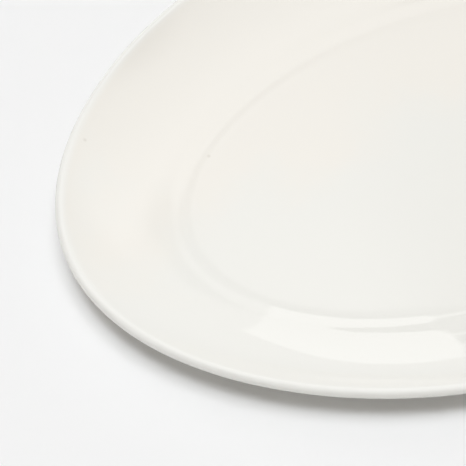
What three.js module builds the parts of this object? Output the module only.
// Oval serving plate in ivory glazed stoneware, in millimetres, +Z up.
// The origin is on the table under the plate's middle, and +X runs along the long axis.
//
// The plate is one fired clay body under a coat of glass. The coat covers the well, the rim, the lip
// and the outside down to the foot, and a second, separate panel of glaze lies inside the foot ring.
// Between them the foot is left bare, because the plate stands on it in the kiln.
//
// Every surface is one profile carried round the oval. A profile point holds two numbers: its inset,
// measured inwards from the plate's outer edge, and its height above the table.

import * as THREE from 'three';

// Driving sizes, over the glaze
const plateLength = 350;
const plateWidth = 257;
const wellDepth = 18;
const floorThickness = 4.5;
const footHeight = 2.5;
const lipThickness = 4.4;
const rimWidth = 58.5;
const vergeWidth = 12.5;
const vergeHeight = 1.8;
const footInset = 59.5;
const footWidth = 4;
const footFillet = 1.2;
const footEdgeRound = 0.5;
const bareHeight = 0.9;
const glazeThickness = 0.35;

// Slopes in degrees from level, and the foot walls' lean in degrees from upright
const rimSlope = 9;
const lipSlope = 30;
const undersideSlope = 6;
const footDraft = 14;

// A curve's handle as a share of its span. The verge rises out of the floor in a long cove, is steepest
// half-way and eases on to the rim's shallow inner end; the other curves are even.
const evenHandle = 1 / 3;
const coveHandle = 0.53;
const shoulderHandle = 0.37;

// The lip's oval is slimmer than a true ellipse at its four quarters by this share; the well's is not.
const quarterDraw = 0.018;

// Facets: steps round the oval, and along each stretch of a profile
const ovalSteps = 64;
const vergeSteps = 8;
const rimSteps = 6;
const lipSteps = 6;
const undersideSteps = 6;
const filletSteps = 3;
const edgeSteps = 2;

// Levels and seats that follow from the sizes
const plateHeight = footHeight + floorThickness + wellDepth;
const clayFloorLevel = footHeight + floorThickness - glazeThickness;
const clayBaseLevel = footHeight + glazeThickness;
const lipCentre = new THREE.Vector2(lipThickness / 2, plateHeight - lipThickness / 2);
const clayLipRadius = lipThickness / 2 - glazeThickness;
const draftRun = Math.tan(THREE.MathUtils.degToRad(footDraft));

// Unit step outwards and uphill on a face that rises towards the lip.
function uphill(slope) {
  const angle = THREE.MathUtils.degToRad(slope);
  return new THREE.Vector2(-Math.cos(angle), Math.sin(angle));
}

// Unit step inwards and downhill, as the underside runs.
function downhill(slope) {
  return uphill(slope).negate();
}

// Smooth curve that leaves one point and reaches the next along given directions.
function sweep(from, leave, to, arrive, leaveHandle = evenHandle, arriveHandle = evenHandle) {
  const span = from.distanceTo(to);
  const leaving = from.clone().addScaledVector(leave, leaveHandle * span);
  const arriving = to.clone().addScaledVector(arrive, -arriveHandle * span);
  return new THREE.CubicBezierCurve(from, leaving, arriving, to);
}

// Points and outward normals along a chain of curves; the outside lies to the right of the run.
function sampleProfile(stretches) {
  const samples = [];
  stretches.forEach(([curve, steps], stretch) => {
    for (let step = stretch === 0 ? 0 : 1; step <= steps; step += 1) {
      const tangent = curve.getTangent(step / steps);
      const normal = new THREE.Vector2(tangent.y, -tangent.x);
      samples.push({ point: curve.getPoint(step / steps), normal });
    }
  });
  return samples;
}

// The bare clay side of a sampled profile.
function claySide(samples) {
  return samples.map(({ point }) => point);
}

// The glass side, one coat further out.
function glassSide(samples) {
  return samples.map(({ point, normal }) => point.clone().addScaledVector(normal, glazeThickness));
}

// A foot wall is a straight line that leans by the draft; side is -1 outside the ring and +1 inside.
function footWallPoint(side, height) {
  const standingEdge = side < 0 ? footInset : footInset + footWidth;
  return new THREE.Vector2(standingEdge + side * height * draftRun, height);
}

// Clay under the coat: well edge, verge, rim, lip, underside and the foot's outer wall.
function coatedClay() {
  const wellEdge = new THREE.Vector2(rimWidth, clayFloorLevel);
  const vergeTop = new THREE.Vector2(rimWidth - vergeWidth, clayFloorLevel + vergeHeight);
  const lipStart = THREE.MathUtils.degToRad(90 - lipSlope);
  const lipEnd = lipStart + Math.PI;
  const lip = new THREE.EllipseCurve(
    lipCentre.x, lipCentre.y, clayLipRadius, clayLipRadius, lipStart, lipEnd);
  const lipInside = lip.getPoint(0);
  const lipOutside = lip.getPoint(1);
  const footRoot = footWallPoint(-1, clayBaseLevel);
  const glazeLine = footWallPoint(-1, bareHeight);
  const wallDown = glazeLine.clone().sub(footRoot).normalize();
  const filletStart = footRoot.clone().addScaledVector(downhill(undersideSlope), -footFillet);
  const filletEnd = footRoot.clone().addScaledVector(wallDown, footFillet);
  const verge = sweep(
    wellEdge, uphill(0), vergeTop, uphill(rimSlope), coveHandle, shoulderHandle);
  return sampleProfile([
    [verge, vergeSteps],
    [sweep(vergeTop, uphill(rimSlope), lipInside, uphill(lipSlope)), rimSteps],
    [lip, lipSteps],
    [sweep(lipOutside, downhill(lipSlope), filletStart, downhill(undersideSlope)), undersideSteps],
    [new THREE.QuadraticBezierCurve(filletStart, footRoot, filletEnd), filletSteps],
    [new THREE.LineCurve(filletEnd, glazeLine), 1],
  ]);
}

// Bare clay from one glaze line to the other, round the foot's standing face.
function bareFoot() {
  const standingEdge = [];
  const wallFoot = [];
  const faceFoot = [];
  for (const side of [-1, 1]) {
    const corner = footWallPoint(side, 0);
    const upWall = footWallPoint(side, bareHeight).sub(corner).normalize();
    standingEdge.push(corner);
    wallFoot.push(corner.clone().addScaledVector(upWall, footEdgeRound));
    faceFoot.push(corner.clone().add(new THREE.Vector2(-side * footEdgeRound, 0)));
  }
  return sampleProfile([
    [new THREE.LineCurve(footWallPoint(-1, bareHeight), wallFoot[0]), 1],
    [new THREE.QuadraticBezierCurve(wallFoot[0], standingEdge[0], faceFoot[0]), edgeSteps],
    [new THREE.LineCurve(faceFoot[0], faceFoot[1]), 1],
    [new THREE.QuadraticBezierCurve(faceFoot[1], standingEdge[1], wallFoot[1]), edgeSteps],
    [new THREE.LineCurve(wallFoot[1], footWallPoint(1, bareHeight)), 1],
  ]);
}

// Clay under the base panel: the foot's inner wall, its fillet and the edge of the level base.
function baseClay() {
  const glazeLine = footWallPoint(1, bareHeight);
  const footRoot = footWallPoint(1, clayBaseLevel);
  const wallUp = footRoot.clone().sub(glazeLine).normalize();
  const filletStart = footRoot.clone().addScaledVector(wallUp, -footFillet);
  const filletEnd = footRoot.clone().add(new THREE.Vector2(footFillet, 0));
  return sampleProfile([
    [new THREE.LineCurve(glazeLine, filletStart), 1],
    [new THREE.QuadraticBezierCurve(filletStart, footRoot, filletEnd), filletSteps],
  ]);
}

// One ring of the plate: the outer oval drawn in by the inset on both axes.
function ovalRing({ x: inset, y: height }) {
  const oval = new THREE.EllipseCurve(0, 0, plateLength / 2 - inset, plateWidth / 2 - inset);
  const rimShare = Math.max(0, 1 - inset / rimWidth);
  return Array.from({ length: ovalSteps }, (_, step) => {
    const turn = step / ovalSteps;
    const quarter = Math.sin(4 * Math.PI * turn) ** 2;
    const place = oval.getPoint(turn).multiplyScalar(1 - quarterDraw * rimShare * quarter);
    return new THREE.Vector3(place.x, place.y, height);
  });
}

// Closed solid from a profile that runs out from the middle, round the edge and back to the middle.
// Each quad is split along its shorter diagonal, so clay and glass are split alike where they meet.
function ovalSolid(profile) {
  const rings = profile.map(ovalRing);
  const middleAt = (ring) => new THREE.Vector3(0, 0, ring[0].z);
  const points = [middleAt(rings[0]), ...rings.flat(), middleAt(rings.at(-1))];
  const lastPoint = points.length - 1;
  const indexOf = (ring, step) => 1 + ring * ovalSteps + (step % ovalSteps);
  const triangles = [];
  for (let step = 0; step < ovalSteps; step += 1) {
    triangles.push(0, indexOf(0, step), indexOf(0, step + 1));
    for (let ring = 0; ring + 1 < rings.length; ring += 1) {
      const here = indexOf(ring, step);
      const beside = indexOf(ring, step + 1);
      const onward = indexOf(ring + 1, step);
      const across = indexOf(ring + 1, step + 1);
      const straight = points[here].distanceTo(points[across]);
      const crossed = points[beside].distanceTo(points[onward]);
      if (straight < crossed) {
        triangles.push(here, onward, across, here, across, beside);
      } else {
        triangles.push(here, onward, beside, beside, onward, across);
      }
    }
    triangles.push(lastPoint, indexOf(rings.length - 1, step + 1), indexOf(rings.length - 1, step));
  }
  const geometry = new THREE.BufferGeometry().setFromPoints(points);
  geometry.setIndex(triangles);
  geometry.computeVertexNormals();
  return geometry;
}

function namedMesh(name, geometry, material) {
  const mesh = new THREE.Mesh(geometry, material);
  mesh.name = name;
  return mesh;
}

const coated = coatedClay();
const bare = bareFoot();
const base = baseClay();

// The fired body: coated stretch, bare foot and base share their end points, so each is dropped once.
const clayBody = namedMesh(
  'clay_body',
  ovalSolid([...claySide(coated), ...claySide(bare).slice(1), ...claySide(base).slice(1)]),
  new THREE.MeshStandardMaterial({ color: 0xe6dfd0, roughness: 0.9, metalness: 0 }));

// The glass coat fused to the body from the well round the lip to the foot's outer glaze line.
const glazeCoat = namedMesh(
  'glaze_coat',
  ovalSolid([...glassSide(coated), ...claySide(coated).reverse()]),
  new THREE.MeshStandardMaterial({ color: 0xf3f0e8, roughness: 0.12, metalness: 0 }));

// The glass panel fused under the base, inside the foot ring.
const baseGlaze = namedMesh(
  'base_glaze',
  ovalSolid([...claySide(base).reverse(), ...glassSide(base)]),
  new THREE.MeshStandardMaterial({ color: 0xf1eee5, roughness: 0.15, metalness: 0 }));

const ovalPlate = new THREE.Group();
ovalPlate.name = 'oval_plate';
ovalPlate.add(clayBody, glazeCoat, baseGlaze);

export default ovalPlate;
